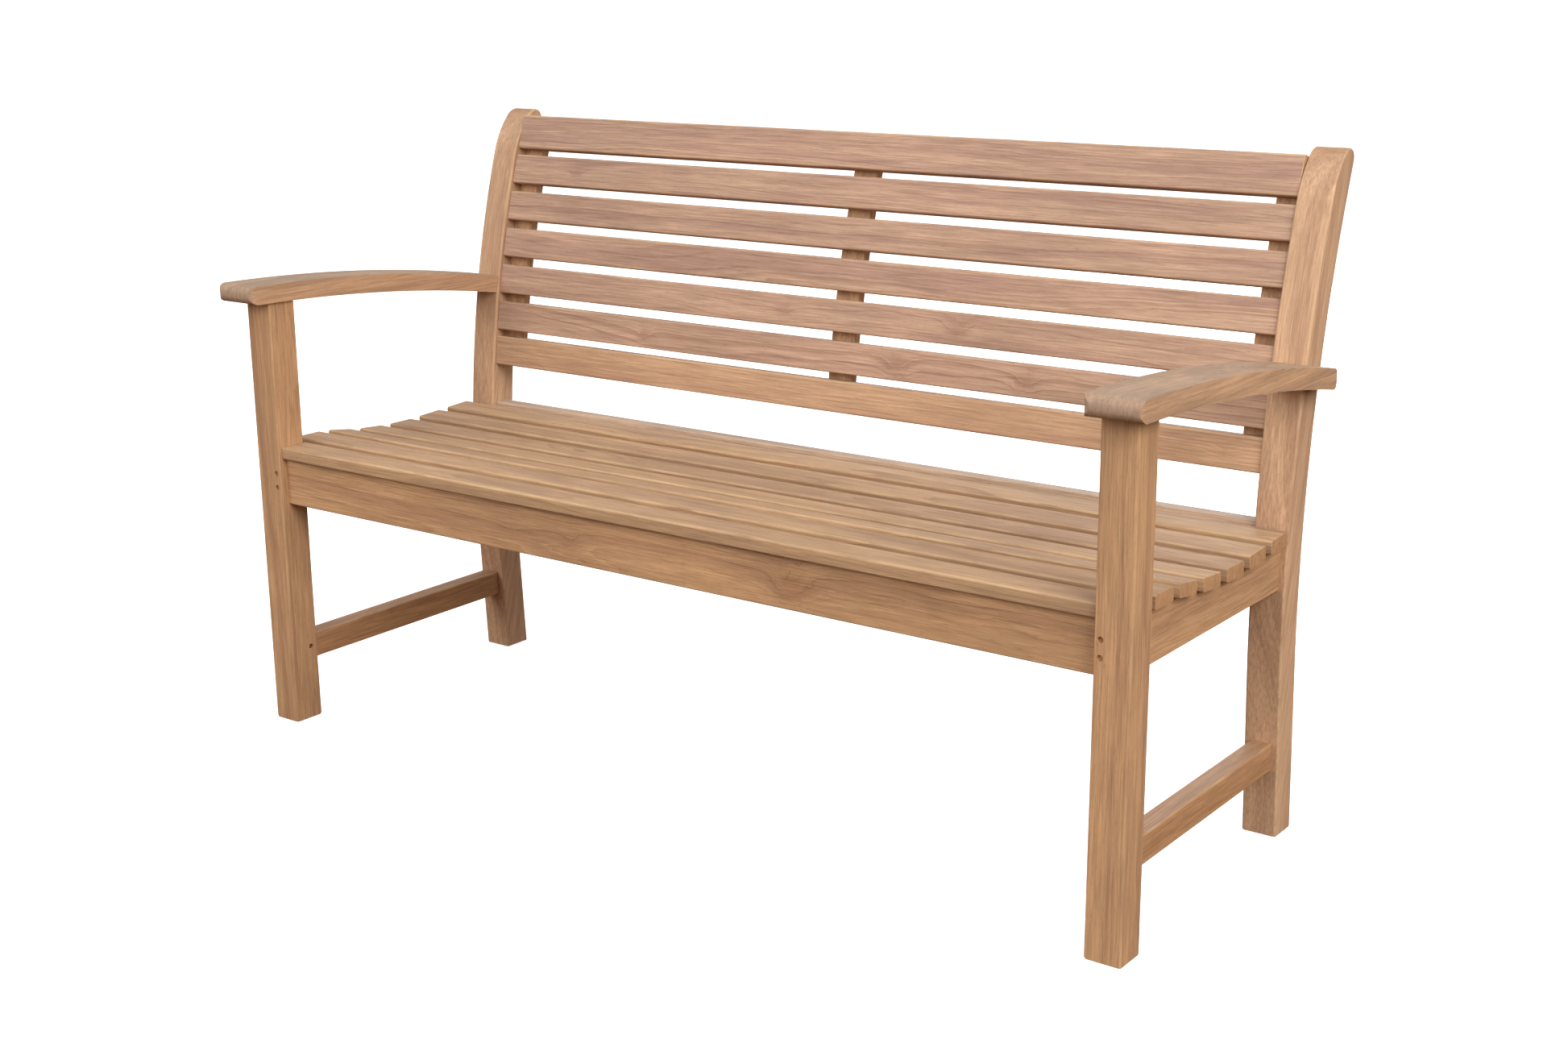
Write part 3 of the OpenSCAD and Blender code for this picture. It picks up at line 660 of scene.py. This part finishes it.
def make_seat_rails():
    """The long rails between the legs, and the bearer between the long rails."""
    for node, leg, tone in (
        ("front_apron", "front_leg_left", HONEY),
        ("rear_seat_rail", "rear_leg_left", PALE),
    ):
        reach = -high(leg).x
        wood = teak(node, "X", tuple(middle(node)), (0.05, -0.03), 63, tone, ring=3.5 * MM, figure=0.85,
                    knots=KNOTS.get(node, ()))
        eased_board(node, 0, -reach, reach, RAIL_ARRIS, RAIL_END, wood)
    node = "seat_bearer"
    wood = teak(node, "Y", tuple(middle(node)), (0.05, 0.0), 64, HONEY)
    eased_board(node, 1, high("front_apron").y, low("rear_seat_rail").y, STRIP_ARRIS, 0, wood)


SLAT_TONES = {node: SANDY for node in SEAT_SLATS}
SLAT_TONES[BACK_SLATS[-1]] = TAWNY


def make_slats():
    """The slats of the seat and the back, each from another place in the tree."""
    for seed, node in enumerate(SEAT_SLATS + BACK_SLATS):
        tone = SLAT_TONES.get(node, ROSY)
        pith = (0.03 * math.sin(7 * seed), -0.05 - 0.02 * math.cos(3 * seed))
        # The slats' tops get little painted sky light.
        wood = teak(node, "X", tuple(middle(node)), pith, 73 + 3 * seed, tone, figure=0.75, sky_paint=0.25,
                    knots=KNOTS.get(node, ()))
        eased_board(node, 0, low(node).x, high(node).x, SLAT_ARRIS, SLAT_END, wood)


# ---------------------------------------------------------------- pins and screws

def make_pin_material():
    """Wood darkened to paint the shade down the sunk pin holes, with its grain along the pins."""
    # Painted shade: the pins' tone is dark to stand for the shade in their sunk holes.
    tone = (linear(118, 80, 54), linear(76, 48, 32), linear(96, 64, 44))
    return teak("pins", "Y", (0, 0, 0), (0.01, 0.01), 40, tone, sky_paint=0.0)


def make_steel_material():
    """Stainless steel, a little dull and uneven."""
    material = bpy.data.materials.new("screw_steel")
    material.use_nodes = True
    t = Tree(material.node_tree)
    shader = t.tree.nodes["Principled BSDF"]
    source = t.put("ShaderNodeTexCoord")
    grime = t.noise(source.outputs["Object"], seed=3.0, scale=900.0, detail=3.0, rough=0.6)
    t.feed(shader.inputs["Base Color"], t.mix(grime, linear(150, 148, 143), linear(196, 195, 190)))
    t.feed(shader.inputs["Roughness"], t.spread(grime, 0.3, 0.7, 0.45, 0.25))
    shader.inputs["Metallic"].default_value = 1.0
    return material


def dress_fixings():
    """The pins, dowels and screws keep their shape and get materials of their own."""
    pins, steel = make_pin_material(), make_steel_material()
    for node in ("apron_pins", "rear_rail_pins", "side_rail_pins", "stretcher_pins", "arm_dowels"):
        bpy.data.objects[node].material_slots[0].material = pins
    for node in ("seat_screws", "back_screws", "batten_screws"):
        bpy.data.objects[node].material_slots[0].material = steel


add_camera()
add_floor()
add_light()
make_legs()
make_arms()
make_end_rails()
make_strips()
make_seat_rails()
make_slats()
dress_fixings()
